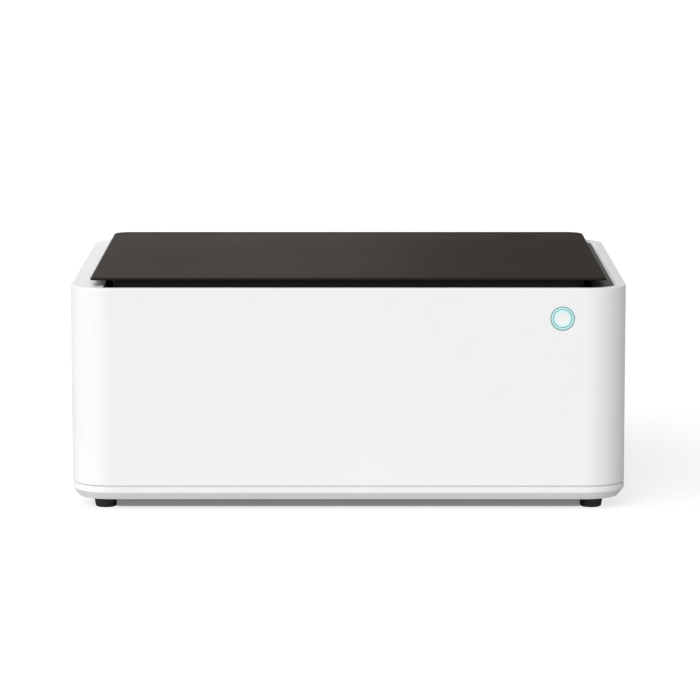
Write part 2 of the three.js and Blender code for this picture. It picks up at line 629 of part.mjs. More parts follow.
function addRear() {
  addExhaust();
  add('rear_panel', rearPanel(), BLACK);
  add('power_inlet', socket(INLET), BLACK);
  add('usb_socket', socket(USB), STEEL);
  add('power_rocker', rockerCap(), BLACK);
  add('power_supply', box(SUPPLY.low, SUPPLY.high), ALUMINIUM);
  add('control_board', box(CIRCUIT.low, CIRCUIT.high), BOARD);
}

addBase();
addChamber();
addTopFrame();
addHinge();
addLid();
addButton();
addYDrive();
addGantry();
addHead();
addRear();

export default cutter;
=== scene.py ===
"""The desktop laser cutter's looks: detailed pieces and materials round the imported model."""

import math
import random

import bmesh
import bpy
from mathutils import Matrix, Vector


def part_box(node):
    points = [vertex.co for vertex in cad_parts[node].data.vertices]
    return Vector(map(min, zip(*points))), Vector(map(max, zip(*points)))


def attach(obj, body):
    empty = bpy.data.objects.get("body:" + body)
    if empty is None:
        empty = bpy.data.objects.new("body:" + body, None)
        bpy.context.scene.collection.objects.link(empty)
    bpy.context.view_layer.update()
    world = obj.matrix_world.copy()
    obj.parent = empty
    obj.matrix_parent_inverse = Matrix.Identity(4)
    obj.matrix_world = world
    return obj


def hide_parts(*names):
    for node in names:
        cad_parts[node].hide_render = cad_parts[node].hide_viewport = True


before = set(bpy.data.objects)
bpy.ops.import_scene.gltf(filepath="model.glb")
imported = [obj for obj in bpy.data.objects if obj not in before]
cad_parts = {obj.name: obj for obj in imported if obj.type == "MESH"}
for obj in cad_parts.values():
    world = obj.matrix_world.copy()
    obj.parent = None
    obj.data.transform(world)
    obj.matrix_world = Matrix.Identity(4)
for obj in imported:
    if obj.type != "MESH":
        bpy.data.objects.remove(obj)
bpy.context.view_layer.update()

MM = 0.001
TURN = 2 * math.pi

# Sizes that the frame gives.
BODY_LO, BODY_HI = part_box("outer_casing")
BASE_LO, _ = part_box("base_frame")
LID_LO, LID_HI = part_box("lid_window")
HALF_X = BODY_HI.x
HALF_Y = -BODY_LO.y
RIM_Z = BODY_HI.z

# Shape of the white mouldings: their corners, walls, rim, and the seam between the two.
CORNER_R = 40 * MM
WALL = 3 * MM
RIM_FLAT = 8 * MM
RIM_BEVEL = 3.5 * MM
RIM_DEPTH = 6 * MM
MOUTH_R = CORNER_R - RIM_FLAT - RIM_BEVEL
EDGE_R = 0.8 * MM
SEAM_LOW = 23.6 * MM
SEAM_TOP = 25.1 * MM
SEAM_DEPTH = 1.2 * MM

# Steps in a corner's quarter turn, and the least radius of a round solid's ends at its centre line.
CORNER_STEPS = 20
AXIS_R = 0.01 * MM


# ---------------------------------------------------------------- mesh helpers

def outline(half_x, half_y, radius, z, back_radius=None, y_mid=0.0, steps=CORNER_STEPS):
    """Points of a rounded rectangle at height z, anticlockwise from its front right corner."""
    back = radius if back_radius is None else back_radius
    corners = (
        (half_x - radius, -half_y + radius, radius, -0.25),
        (half_x - back, half_y - back, back, 0.0),
        (-half_x + back, half_y - back, back, 0.25),
        (-half_x + radius, -half_y + radius, radius, 0.5),
    )
    points = []
    for x, y, r, start in corners:
        for i in range(steps + 1):
            a = TURN * (start + 0.25 * i / steps)
            points.append(Vector((x + r * math.cos(a), y_mid + y + r * math.sin(a), z)))
    return points


def mesh_from(name, points, faces):
    """A mesh whose touching points are one, with its faces all looking outwards."""
    mesh = bpy.data.meshes.new(name)
    mesh.from_pydata(points, [], faces)
    tidy = bmesh.new()
    tidy.from_mesh(mesh)
    bmesh.ops.remove_doubles(tidy, verts=tidy.verts, dist=1e-6)
    bmesh.ops.recalc_face_normals(tidy, faces=tidy.faces)
    tidy.to_mesh(mesh)
    tidy.free()
    return mesh


def loft(name, rings, hollow=False):
    """A closed solid through rings of equal point count. hollow joins the last ring to the first."""
    n = len(rings[0])
    points = [p for ring in rings for p in ring]
    faces = []
    spans = len(rings) if hollow else len(rings) - 1
    for k in range(spans):
        a = k * n
        b = ((k + 1) % len(rings)) * n
        faces += [(a + i, a + (i + 1) % n, b + (i + 1) % n, b + i) for i in range(n)]
    if not hollow:
        faces.append(tuple(reversed(range(n))))
        faces.append(tuple(range((len(rings) - 1) * n, len(rings) * n)))
    return mesh_from(name, points, faces)


def arc(cx, cz, r, start, end, steps):
    """Points of a circular arc as (across, up) pairs. start and end are in turns."""
    angles = [TURN * (start + (end - start) * i / steps) for i in range(steps + 1)]
    return [(cx + r * math.cos(a), cz + r * math.sin(a)) for a in angles]


# Turns that lay a shape built along Z along each axis.
AXES = {
    "x": Matrix(((0, 0, 1), (1, 0, 0), (0, 1, 0))),
    "y": Matrix(((0, 1, 0), (0, 0, 1), (1, 0, 0))),
    "z": Matrix.Identity(3),
}


def turned(name, profile, at, axis="z", steps=64, closed=False):
    """A round solid from (radius, height) points. closed joins the profile's ends, as for a ring.

    A third number makes that circle toothed: grooves of that depth, one to every four steps.
    """
    turn = AXES[axis]
    rings = []
    for r, h, *groove in profile:
        circle = []
        for i in range(steps):
            reach = max(r, AXIS_R) - (groove[0] if groove and i % 4 < 2 else 0)
            a = TURN * i / steps
            circle.append(Vector(at) + turn @ Vector((reach * math.cos(a), reach * math.sin(a), h)))
        rings.append(circle)
    return loft(name, rings, hollow=closed)


def extruded(name, section, axis, start, end):
    """A closed outline drawn out along an axis.

    Its points are (y, z) along x, (z, x) along y, (x, y) along z.
    """
    turn = AXES[axis]
    rings = [[turn @ Vector((a, b, h)) for a, b in section] for h in (start, end)]
    return loft(name, rings)


def slab(name, lo, hi, corner, levels, steps=8):
    """An upright plate facing -Y with rounded corners. levels are (inset, depth behind its front)."""
    lo = Vector(lo)
    hi = Vector(hi)
    centre = (lo + hi) / 2
    half = (hi - lo) / 2
    rings = []
    for inset, depth in levels:
        flat = outline(half.x - inset, half.z - inset, max(corner - inset, 0.1 * MM), 0, steps=steps)
        rings.append([Vector((centre.x + p.x, lo.y + depth, centre.z + p.y)) for p in flat])
    return loft(name, rings)


def screw(at, axis, r, facing):
    """A pan-head screw with a hexagonal socket, standing on a face that looks along its axis."""
    turn = AXES[axis]
    steps = 24
    angles = [TURN * i / steps for i in range(steps)]
    h = 0.6 * r * facing
    flat = 0.5 * r * math.cos(TURN / 12)
    socket = [flat / math.cos(a % (TURN / 6) - TURN / 12) for a in angles]
    head = ((r, 0), (r, 0.55 * h), (0.85 * r, 0.9 * h), (0.65 * r, h))
    levels = [([reach] * steps, z) for reach, z in head]
    levels += [(socket, h), (socket, 0.35 * h)]
    rings = []
    for reaches, z in levels:
        rings.append([Vector(at) + turn @ Vector((reach * math.cos(a), reach * math.sin(a), z))
                      for a, reach in zip(angles, reaches)])
    return loft("screw", rings)


def blade(at, axis, start, inner, outer, height, chord):
    """One swept fan blade, from its root to its tip, climbing from the bottom to the top of the fan."""
    turn = AXES[axis]
    sweep = 0.06
    foot = 0.1
    climb = 0.8
    camber = 0.12
    thick = 0.9 * MM
    sections = 7
    across = 5
    rings = []
    for j in range(sections):
        out = j / (sections - 1)
        r = inner + (outer - inner) * out
        upper = []
        lower = []
        for k in range(across):
            t = k / (across - 1)
            a = TURN * (start + sweep * out * out + (t - 0.5) * chord)
            z = height * (foot + climb * t + camber * math.sin(math.pi * t))
            x, y = r * math.cos(a), r * math.sin(a)
            upper.append(Vector(at) + turn @ Vector((x, y, z)))
            lower.append(Vector(at) + turn @ Vector((x, y, z - thick)))
        rings.append(upper + lower[::-1])
    return loft("blade", rings)


def fan(at, axis, outer, hub, height, blades=7):
    """A fan rotor: a domed hub and its swept blades."""
    edge = 1.2 * MM
    dish = 0.4 * MM
    profile = [(0, 0), (hub - 0.3 * MM, 0), (hub, 0.3 * MM), (hub, height - edge)]
    profile += [(hub - 0.4 * edge, height - 0.3 * edge), (hub - edge, height)]
    profile += [(0.45 * hub, height), (0.4 * hub, height - dish), (0, height - dish)]
    parts = [turned("hub", profile, at, axis, 48)]
    root = hub - 0.5 * MM
    tall = 0.92 * height
    chord = 0.74 / blades
    for k in range(blades):
        parts.append(blade(at, axis, k / blades, root, outer, tall, chord))
    return joined("fan", parts)


def brick(lo, hi):
    """A box mesh between two corners."""
    made = bmesh.new()
    bmesh.ops.create_cube(made, size=1.0)
    lo = Vector(lo)
    hi = Vector(hi)
    for v in made.verts:
        v.co = Vector((lo[i] + (hi[i] - lo[i]) * (v.co[i] + 0.5) for i in range(3)))
    mesh = bpy.data.meshes.new("brick")
    made.to_mesh(mesh)
    made.free()
    return mesh


def joined(name, meshes):
    """One mesh that holds several closed solids."""
    both = bmesh.new()
    for mesh in meshes:
        both.from_mesh(mesh)
    result = bpy.data.meshes.new(name)
    both.to_mesh(result)
    both.free()
    return result


def baked(obj):
    """obj's mesh with its modifiers applied."""
    graph = bpy.context.evaluated_depsgraph_get()
    mesh = bpy.data.meshes.new_from_object(obj.evaluated_get(graph), depsgraph=graph)
    obj.modifiers.clear()
    obj.data = mesh
    return obj


def cut(mesh, *cutters):
    """mesh with the cutter solids taken out of it."""
    obj = bpy.data.objects.new("work", mesh)
    bpy.context.scene.collection.objects.link(obj)
    tools = []
    for cutter in cutters:
        tool = bpy.data.objects.new("cutter", cutter)
        bpy.context.scene.collection.objects.link(tool)
        tools.append(tool)
        modifier = obj.modifiers.new("cut", "BOOLEAN")
        modifier.object = tool
        modifier.operation = "DIFFERENCE"
        modifier.solver = "MANIFOLD"
    bpy.context.view_layer.update()
    result = baked(obj).data
    for spent in (obj, *tools):
        bpy.data.objects.remove(spent)
    return result


def soften(obj, width):
    """Rounds the sharp edges a little and shades the rest smooth. A zero width keeps them sharp."""
    sharp = math.radians(30)
    for face in obj.data.polygons:
        face.use_smooth = True
    if not width:
        obj.data.set_sharp_from_angle(angle=sharp)
    else:
        bevel = obj.modifiers.new("soft_edges", "BEVEL")
        bevel.width = width
        bevel.segments = 3
        bevel.limit_method = "ANGLE"
        bevel.angle_limit = sharp
        bevel.harden_normals = True
        bevel.miter_outer = "MITER_ARC"
    even = obj.modifiers.new("even_shading", "WEIGHTED_NORMAL")
    even.weight = 80
    even.keep_sharp = True
    return obj


def piece(name, mesh, material, body="housing", nodes=(), bevel=0.4 * MM):
    """Adds a finished piece, riding on its body. Its one slot holds its material."""
    obj = bpy.data.objects.new(name, mesh)
    bpy.context.scene.collection.objects.link(obj)
    obj.data.materials.clear()
    obj.data.materials.append(material)
    for face in obj.data.polygons:
        face.material_index = 0
    soften(obj, bevel)
    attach(obj, body)
    if nodes:
        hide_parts(*nodes)
    return obj


def screws(name, places, axis="z", r=2.2 * MM, facing=1, body="housing"):
    """One piece that holds several equal screws."""
    mesh = joined(name, [screw(at, axis, r, facing) for at in places])
    return piece(name, mesh, RAIL, body, bevel=0)


def dress(node, material, bevel=0.4 * MM):
    """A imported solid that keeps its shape: welded, softened along its edges, and painted."""
    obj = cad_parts[node]
    obj.data.materials.clear()
    obj.data.materials.append(material)
    weld = obj.modifiers.new("weld", "WELD")
    weld.merge_threshold = 0.01 * MM
    return soften(obj, bevel)


# ------------------------------------------------------------------- materials

class Paint:
    """A Principled material with a few chained texture nodes."""

    def __init__(self, name, colour, roughness, **inputs):
        self.material = bpy.data.materials.new(name)
        self.material.use_nodes = True
        self.tree = self.material.node_tree
        self.shader = self.tree.nodes["Principled BSDF"]
        self.colour = colour
        self.roughness = roughness
        self.set("Base Color", (*colour, 1))
        self.set("Roughness", roughness)
        for key, value in inputs.items():
            self.set(key.replace("_", " ").title().replace("Ior", "IOR"), value)
        self.normal = None
        self.place = self.tree.nodes.new("ShaderNodeTexCoord").outputs["Object"]

    def set(self, socket, value):
        self.shader.inputs[socket].default_value = value

    def link(self, a, b):
        self.tree.links.new(a, b)

    def noise(self, scale, detail, stretch):
        mapping = self.tree.nodes.new("ShaderNodeMapping")
        mapping.inputs["Scale"].default_value = stretch
        self.link(self.place, mapping.inputs["Vector"])
        node = self.tree.nodes.new("ShaderNodeTexNoise")
        node.inputs["Scale"].default_value = scale
        node.inputs["Detail"].default_value = detail
        self.link(mapping.outputs["Vector"], node.inputs["Vector"])
        return node.outputs["Fac"]

    def range(self, source, low, high):
        node = self.tree.nodes.new("ShaderNodeMapRange")
        node.inputs["To Min"].default_value = low
        node.inputs["To Max"].default_value = high
        self.link(source, node.inputs["Value"])
        return node.outputs["Result"]

    def blend(self, factor, first, second):
        """Runs the base colour from the first to the second as factor rises."""
        ramp = self.tree.nodes.new("ShaderNodeMix")
        ramp.data_type = "RGBA"
        ramp.inputs["A"].default_value = (*first, 1)
        ramp.inputs["B"].default_value = (*second, 1)
        self.link(factor, ramp.inputs["Factor"])
        self.link(ramp.outputs["Result"], self.shader.inputs["Base Color"])
        return self

    def mottle(self, scale, spread, stretch=(1, 1, 1)):
        """Lets the colour wander by spread either way."""
        darker = [c * (1 - spread) for c in self.colour]
        lighter = [min(1, c * (1 + spread)) for c in self.colour]
        return self.blend(self.noise(scale, 3, stretch), darker, lighter)

    def gloss(self, scale, spread, detail=3, stretch=(1, 1, 1)):
        """Lets the roughness wander by spread either way."""
        source = self.noise(scale, detail, stretch)
        value = self.range(source, self.roughness - spread, self.roughness + spread)
        self.link(value, self.shader.inputs["Roughness"])
        return self

    def ribs(self, axis, pitch, depth):
        """Adds straight ribs that follow each other along an axis, pitch metres apart."""
        wave = self.tree.nodes.new("ShaderNodeTexWave")
        wave.wave_type = "BANDS"
        wave.bands_direction = axis
        wave.inputs["Scale"].default_value = TURN / (20 * pitch)
        self.link(self.place, wave.inputs["Vector"])
        return self.relief(wave.outputs["Fac"], 1.0, depth)

    def bump(self, scale, strength, depth, stretch=(1, 1, 1)):
        """Adds a layer of fine relief, depth metres deep."""
        return self.relief(self.noise(scale, 2, stretch), strength, depth)

    def relief(self, source, strength, depth):
        """Lays one more relief over those laid so far."""
        node = self.tree.nodes.new("ShaderNodeBump")
        node.inputs["Strength"].default_value = strength
        node.inputs["Distance"].default_value = depth
        self.link(source, node.inputs["Height"])
        if self.normal is not None:
            self.link(self.normal, node.inputs["Normal"])
        self.normal = node.outputs["Normal"]
        self.link(self.normal, self.shader.inputs["Normal"])
        return self


def moulded(name, colour, roughness, grain=1.0, **inputs):
    """Plastic, rubber or painted metal with a fine, even grain."""
    paint = Paint(name, colour, roughness, **inputs)
    paint.mottle(9, 0.012).gloss(60, 0.05).bump(2600, 0.25 * grain, 0.06 * MM)
    paint.bump(7, 0.15, 0.12 * MM)
    return paint.material


def metal(name, colour, roughness, stretch=(1, 1, 1)):
    """Metal with fine lines along the axis that stretch makes long."""
    paint = Paint(name, colour, roughness, metallic=1.0)
    paint.mottle(40, 0.05, stretch).gloss(120, 0.05, 4, stretch)
    paint.bump(1500, 0.08, 0.02 * MM, stretch)
    return paint.material


SHELL = moulded("shell_white", (0.86, 0.86, 0.865), 0.42)
TRIM = moulded("trim_dark", (0.062, 0.061, 0.058), 0.5)
BLACK = moulded("trim_black", (0.007, 0.007, 0.006), 0.6, 1.0, specular_ior_level=0.2)
SEAM = moulded("seam_grey", (0.66, 0.66, 0.66), 0.8)
FAN = moulded("fan_black", (0.016, 0.016, 0.017), 0.4, 0.6)
RING = moulded("light_ring", (0.52, 0.84, 0.83), 0.35, 0.2)
BOARD = moulded("board_green", (0.02, 0.13, 0.06), 0.45)
LINER = moulded("liner_dark", (0.045, 0.045, 0.046), 0.55, 1.6)
# Steel grey for the bottom plate, set as light as the shade under the machine that the plate's front
# stands in for.
PLATE = moulded("plate_steel", (0.36, 0.36, 0.36), 0.5, 1.8)
MOTOR = moulded("motor_black", (0.018, 0.018, 0.018), 0.35, 0.5)
FOOT = moulded("foot_rubber", (0.010, 0.010, 0.010), 0.6, 2.0)
FOAM = moulded("foam_black", (0.010, 0.010, 0.010), 0.9, 3.0)
RAIL = metal("rail_steel", (0.56, 0.56, 0.57), 0.30)
RAIL_X = metal("rail_steel", (0.50, 0.50, 0.51), 0.32, (0.03, 1, 1))
RAIL_Y = metal("rail_steel", (0.50, 0.50, 0.51), 0.32, (1, 0.03, 1))
BED = metal("bed_aluminium", (0.55, 0.56, 0.58), 0.42, (0.04, 1, 1))
PULLEY = metal("pulley_aluminium", (0.70, 0.70, 0.72), 0.3)
ANODISED = metal("black_anodised", (0.03, 0.03, 0.032), 0.42)
NOZZLE = metal("brass_nozzle", (0.78, 0.57, 0.25), 0.25)


def belting(axis):
    """Black rubber with a timing belt's teeth across it."""
    paint = Paint("belt_rubber", (0.012, 0.012, 0.012), 0.75)
    paint.mottle(30, 0.2).gloss(80, 0.06).ribs(axis, 2 * MM, 0.7 * MM).bump(900, 0.2, 0.05 * MM)
    return paint.material


def lit_cap():
    """The button's white cap, with a painted cyan glow from the light ring round it towards its edge."""
    lo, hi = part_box("button_cap")
    radius = (hi.x - lo.x) / 2
    paint = Paint("button_white", (0.86, 0.88, 0.85), 0.35)
    paint.gloss(60, 0.05).bump(2600, 0.1, 0.05 * MM)
    mapping = paint.tree.nodes.new("ShaderNodeMapping")
    mapping.inputs["Location"].default_value = -(lo + hi) / 2 / radius
    mapping.inputs["Scale"].default_value = (1 / radius, 1 / radius, 1 / radius)
    paint.link(paint.place, mapping.inputs["Vector"])
    ball = paint.tree.nodes.new("ShaderNodeTexGradient")
    ball.gradient_type = "SPHERICAL"
    paint.link(mapping.outputs["Vector"], ball.inputs["Vector"])
    # Painted glow: the cap turns cyan towards its edge as if lit by the ring, which gives no light.
    painted_ring_glow = (0.62, 0.92, 0.92)
    return paint.blend(paint.range(ball.outputs["Fac"], 0.0, 2.4), painted_ring_glow, paint.colour).material


def smoked():
    """The lid's smoked sheet: brown-black, nearly without gloss, and only faintly see-through."""
    paint = Paint("smoked_window", (0.032, 0.0255, 0.020), 0.5, alpha=0.93)
    paint.set("Specular IOR Level", 0.007)
    paint.mottle(3, 0.08).gloss(5, 0.04).bump(5, 0.08, 0.1 * MM)
    return paint.material


SMOKED = smoked()
BUTTON = lit_cap()
LID_EDGE = moulded("lid_edge", (0.010, 0.009, 0.008), 0.4, 0.5, specular_ior_level=0.15)
TEAL = moulded("ring_groove", (0.13, 0.28, 0.30), 0.5, 0.2)
BELT_X = belting("X")
BELT_Y = belting("Y")


# --------------------------------------------------------------------- casing

def casing_mesh():
    """The white moulding: outer wall, filleted rim with its inner bevel, and the hollow inside."""
    e = EDGE_R
    top = RIM_Z
    flat_end = RIM_FLAT
    mouth = RIM_FLAT + RIM_BEVEL
    low = SEAM_TOP
    outer = [(i, z, CORNER_R - i) for i, z in arc(1 * MM, low + 1 * MM, 1 * MM, 0.75, 0.5, 4)]
    outer += [(i, z, CORNER_R - i) for i, z in arc(e, top - e, e, 0.5, 0.25, 6)]
    inner = [
        (flat_end - 0.3 * MM, top, MOUTH_R + RIM_BEVEL),
        (flat_end, top - 0.05 * MM, MOUTH_R + RIM_BEVEL),
        (flat_end + 0.3 * MM, top - 0.3 * MM, MOUTH_R + RIM_BEVEL - 0.3 * MM),
        (mouth - 0.2 * MM, top - RIM_BEVEL + 0.3 * MM, MOUTH_R + 0.2 * MM),
        (mouth, top - RIM_BEVEL, MOUTH_R),
        (mouth, top - RIM_DEPTH, MOUTH_R),
        (WALL, top - RIM_DEPTH, CORNER_R - WALL),
        (WALL, low, CORNER_R - WALL),
    ]
    rings = [outline(HALF_X - i, HALF_Y - i, r, z) for i, z, r in outer + inner]
    return loft("casing", rings, hollow=True)


def vent_slots():
    """Cutters for two rows of round-ended slots in the back wall, behind the control board."""
    count = 16
    pitch = 8 * MM
    half_w = 1.6 * MM
    half_h = 9 * MM
    reach = 5 * MM
    middle = 15 * MM
    slots = []
    for row_z in (118 * MM, 144 * MM):
        for i in range(count):
            x = middle + (i - (count - 1) / 2) * pitch
            low = (x - half_w, HALF_Y - reach, row_z - half_h)
            high = (x + half_w, HALF_Y + reach, row_z + half_h)
            slots.append(slab("slot", low, high, 0.98 * half_w, [(0, 0), (0, 2 * reach)], 5))
    return joined("slots", slots)


def wall_hole(centre, wall_y, r):
    """A cutter for a round hole through the front or back wall."""
    reach = 10 * MM
    return turned("hole", [(r, -reach), (r, reach)], (centre.x, wall_y, centre.z), "y", 96)


def build_casing():
    """The white moulding, cut out for the hinge bar, the button, the port, the panel and the vents."""
    gap = 0.3 * MM
    past = 1 * MM
    button_r = 12.1 * MM
    bar_lo, bar_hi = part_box("hinge_bar")
    notch = brick((bar_lo.x - gap, bar_lo.y, bar_lo.z - gap),
                  (bar_hi.x + gap, HALF_Y + past, RIM_Z + past))
    ring_lo, ring_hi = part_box("button_light_ring")
    button = (ring_lo + ring_hi) / 2
    button_hole = wall_hole(button, -HALF_Y, button_r)
    collar_lo, collar_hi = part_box("exhaust_collar")
    port = (collar_lo + collar_hi) / 2
    port_r = (collar_hi.x - collar_lo.x) / 2 + 0.5 * MM
    port_hole = wall_hole(port, HALF_Y, port_r)
    panel_lo, panel_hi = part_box("rear_panel")
    window = brick((panel_lo.x - gap, panel_lo.y - WALL, panel_lo.z - gap),
                   (panel_hi.x + gap, HALF_Y + past, panel_hi.z + gap))
    mesh = cut(casing_mesh(), notch, button_hole, port_hole, window, vent_slots())
    piece("casing", mesh, SHELL, "housing", ["outer_casing"], bevel=0.25 * MM)


def build_base():
    """The lower white ring, with its chamfer and the flange that the bed rests on."""
    low = BASE_LO.z
    floor = low + 4 * MM
    top = SEAM_LOW
    chamfer = 6.5 * MM
    chamfer_top = 18.4 * MM
    hole_x = 215 * MM
    hole_y = 165 * MM
    hole_r = 12 * MM
    hole_middle = -7 * MM
    outer = [
        (chamfer, low, CORNER_R - chamfer),
        (chamfer - 0.4 * MM, low + 0.25 * MM, CORNER_R - chamfer),
        (0.25 * MM, chamfer_top - 0.3 * MM, CORNER_R),
        (0, chamfer_top + 0.2 * MM, CORNER_R),
        (0, top - 0.5 * MM, CORNER_R),
        (0.15 * MM, top - 0.15 * MM, CORNER_R),
        (0.5 * MM, top, CORNER_R),
        (WALL, top, CORNER_R - WALL),
        (WALL, chamfer_top + WALL, CORNER_R - WALL),
        (chamfer + WALL, floor, CORNER_R - chamfer - WALL),
    ]
    rings = [outline(HALF_X - i, HALF_Y - i, r, z) for i, z, r in outer]
    hole = [outline(hole_x, hole_y, hole_r, z, y_mid=hole_middle) for z in (floor, low)]
    mesh = loft("base", rings + hole, hollow=True)
    piece("base_ring", mesh, SHELL, "housing", ["base_frame"], bevel=0.15 * MM)


def build_seam():
    """The grey ring that is set back in the gap between the casing and the base."""
    profile = [(SEAM_DEPTH, SEAM_LOW), (SEAM_DEPTH, SEAM_TOP), (WALL, SEAM_TOP), (WALL, SEAM_LOW)]
    rings = [outline(HALF_X - i, HALF_Y - i, CORNER_R - i, z) for i, z in profile]
    piece("seam_ring", loft("seam", rings, hollow=True), SEAM, nodes=["seam_gasket"], bevel=0)


def build_plate():
    """The bottom plate, its screws, and a strip that makes its front reach the feet; the plate is a real
    part, and its grey front between the feet is painted shade under the machine.
    """
    dress("bottom_plate", PLATE, 0.5 * MM)
    lo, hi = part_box("bottom_plate")
    proud = 0.4 * MM
    past = 1.2 * MM
    skin = 0.1 * MM
    depth = 3.6 * MM
    # Painted shade: with the plate's front, this grey strip fills the dark band under the machine between
    # the feet, where the floor lies in shade.
    strip = brick((lo.x - past, lo.y - proud, lo.z + skin), (hi.x + past, lo.y + depth, hi.z - skin))
    piece("plate_front_shade_strip", strip, PLATE, bevel=0.5 * MM)
    inset = 14 * MM
    face = hi.z - 1.5 * MM
    rows = (lo.y + inset, (lo.y + hi.y) / 2, hi.y - inset)
    places = [(x, y, face) for x in (lo.x + inset, 0, hi.x - inset) for y in rows]
    screws("tray_screws", places, r=2.6 * MM, facing=-1)


def build_feet():
    """Four rubber feet, each with a hollow in the middle of its sole."""
    for end in ("front", "rear"):
        for side in ("left", "right"):
            node = f"foot_{end}_{side}"
            lo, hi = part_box(node)
            r = (hi.x - lo.x) / 2
            h = hi.z - lo.z
            profile = [(0, 0.6 * MM), (r * 0.45, 0.6 * MM), (r * 0.5, 0), (r - 3.4 * MM, 0)]
            profile += arc(r - 2.9 * MM, 1.6 * MM, 1.6 * MM, 0.75, 0.98, 6)
            profile += [(r - 0.3 * MM, h * 0.7), (r, h * 0.8), (r, h), (0, h)]
            centre = ((lo.x + hi.x) / 2, (lo.y + hi.y) / 2, 0)
            piece(f"rubber_{node}", turned(node, profile, centre), FOOT, nodes=[node], bevel=0)


# ------------------------------------------------------------------------ lid

def build_lid():
    """A smoked sheet in a thin ground edge, with larger corners at its back, over a frame and seal."""
    half_x = LID_HI.x
    half_y = (LID_HI.y - LID_LO.y) / 2
    middle = (LID_HI.y + LID_LO.y) / 2
    edge = 1.3 * MM
    front_r = 4 * MM
    back_r = 16 * MM

    def ring(inset, z):
        return outline(half_x - inset, half_y - inset, front_r, z, back_r, middle)

    sheet = [ring(edge, LID_LO.z), ring(edge, LID_HI.z)]
    piece("smoked_lid", loft("lid", sheet), SMOKED, "lid", ["lid_window"], bevel=0)
    border = [ring(edge, LID_LO.z), ring(0.4 * MM, LID_LO.z), ring(0, LID_LO.z + 0.4 * MM)]
    border += [ring(0, LID_HI.z - 0.8 * MM), ring(0.3 * MM, LID_HI.z - 0.4 * MM), ring(edge, LID_HI.z)]
    mesh = loft("border", border, hollow=True)
    piece("lid_border", mesh, LID_EDGE, "lid", bevel=0)
    dress("lid_frame", BLACK)
    dress("lid_seal", FOAM, 0.2 * MM)


def left_ledge_mesh():
    """The white ledge left of the lid, run into the rim's bevel so that no joint shows between them."""
    lo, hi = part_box("left_ledge")
    top = RIM_Z - 0.02 * MM
    mouth = RIM_FLAT + RIM_BEVEL
    lap = 1 * MM
    under = lo.z - 1 * MM
    profile = [(mouth - lap, lo.z), (mouth - lap, top - RIM_BEVEL), (RIM_FLAT - lap, top)]
    rings = [outline(HALF_X - i, HALF_Y - i, MOUTH_R + mouth - i, z) for i, z in profile]
    away = brick((hi.x, -HALF_Y, under), (HALF_X, HALF_Y, RIM_Z))
    behind = brick((-HALF_X, hi.y, under), (HALF_X, HALF_Y, RIM_Z))
    return cut(loft("ledge", rings), away, behind)


def build_hinges():
    """The two leaves that the lid hangs on, with their screws and pins."""
    leaf_t = 2.1 * MM
    for side in ("left", "right"):
        dress(f"hinge_leaf_{side}", RAIL, 0.3 * MM)
        dress(f"hinge_pin_{side}", RAIL, 0.2 * MM)
        lo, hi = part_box(f"hinge_leaf_{side}")
        x = (lo.x + hi.x) / 2
        face = hi.z - leaf_t
        places = [(x + dx * 8 * MM, lo.y + dy * MM, face) for dx in (-1, 1) for dy in (8, 34)]
        screws(f"leaf_screws_{side}", places, r=2 * MM, facing=-1, body="lid")


def build_surround():
    """The bar that carries the hinges, the frame round the chamber's mouth, and a ledge on each side."""
    dress("hinge_bar", BLACK, 0.3 * MM)
    dress("inner_frame", BLACK, 0.3 * MM)
    piece("white_ledge", left_ledge_mesh(), SHELL, nodes=["left_ledge"], bevel=0)
    dress("right_ledge", TRIM, 0.3 * MM)


# --------------------------------------------------------------------- button

def build_button():
    """A slightly dished cap inside a pale light ring, with a teal line round the ring."""
    lo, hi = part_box("button_cap")
    r = (hi.x - lo.x) / 2
    at = ((lo.x + hi.x) / 2, lo.y, (lo.z + hi.z) / 2)
    cap = [(0, 0.25 * MM), (r * 0.6, 0.18 * MM), (r - 1.0 * MM, 0.02 * MM)]
    cap += [(r - 0.4 * MM, 0.08 * MM), (r, 0.5 * MM), (r, hi.y - lo.y), (0, hi.y - lo.y)]
    piece("start_button", turned("cap", cap, at, "y", 96), BUTTON, "button", ["button_cap"], bevel=0)
    inner = 9.25 * MM
    outer = 11.25 * MM
    flange = 15 * MM
    step = 3.3 * MM
    depth = 6 * MM
    ring = [(inner, 0.3 * MM), (inner + 0.3 * MM, 0.05 * MM), (outer - 0.3 * MM, 0.05 * MM)]
    ring += [(outer, 0.4 * MM), (outer, step), (flange, step), (flange, depth), (inner, depth)]
    mesh = turned("ring", ring, at, "y", 96, closed=True)
    piece("button_ring", mesh, RING, nodes=["button_light_ring"], bevel=0)
    rim = outer + 0.75 * MM
    groove = [(outer, 0.25 * MM), (rim, 0.25 * MM), (rim, 3 * MM), (outer, 3 * MM)]
    mesh = turned("groove", groove, at, "y", 96, closed=True)
    piece("ring_groove", mesh, TEAL, bevel=0)
    dress("button_switch", BLACK)


# ------------------------------------------------------------------ mechanism

def build_chamber():
    """The liner with its screws, the bed and the loose bars on it."""
    dress("chamber_liner", LINER, 0.2 * MM)
    dress("work_bed", BED, 0.2 * MM)
    for i in range(1, 5):
        dress(f"support_bar_{i}", RAIL_X, 0.15 * MM)
    lo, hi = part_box("chamber_liner")
    face = 1.5 * MM
    heights = (60 * MM, 190 * MM)
    for side, x, facing in (("left", lo.x + face, 1), ("right", hi.x - face, -1)):
        places = [(x, y * MM, z) for y in (-150, -50, 50, 150) for z in heights]
        screws(f"liner_screws_{side}", places, "x", 2.4 * MM, facing)
    bed_lo, bed_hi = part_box("work_bed")
    inset = 9 * MM
    rows = (bed_lo.y + inset, (bed_lo.y + bed_hi.y) / 2, bed_hi.y - inset)
    places = [(x, y, bed_hi.z) for x in (bed_lo.x + inset, bed_hi.x - inset) for y in rows]
    screws("bed_screws", places)


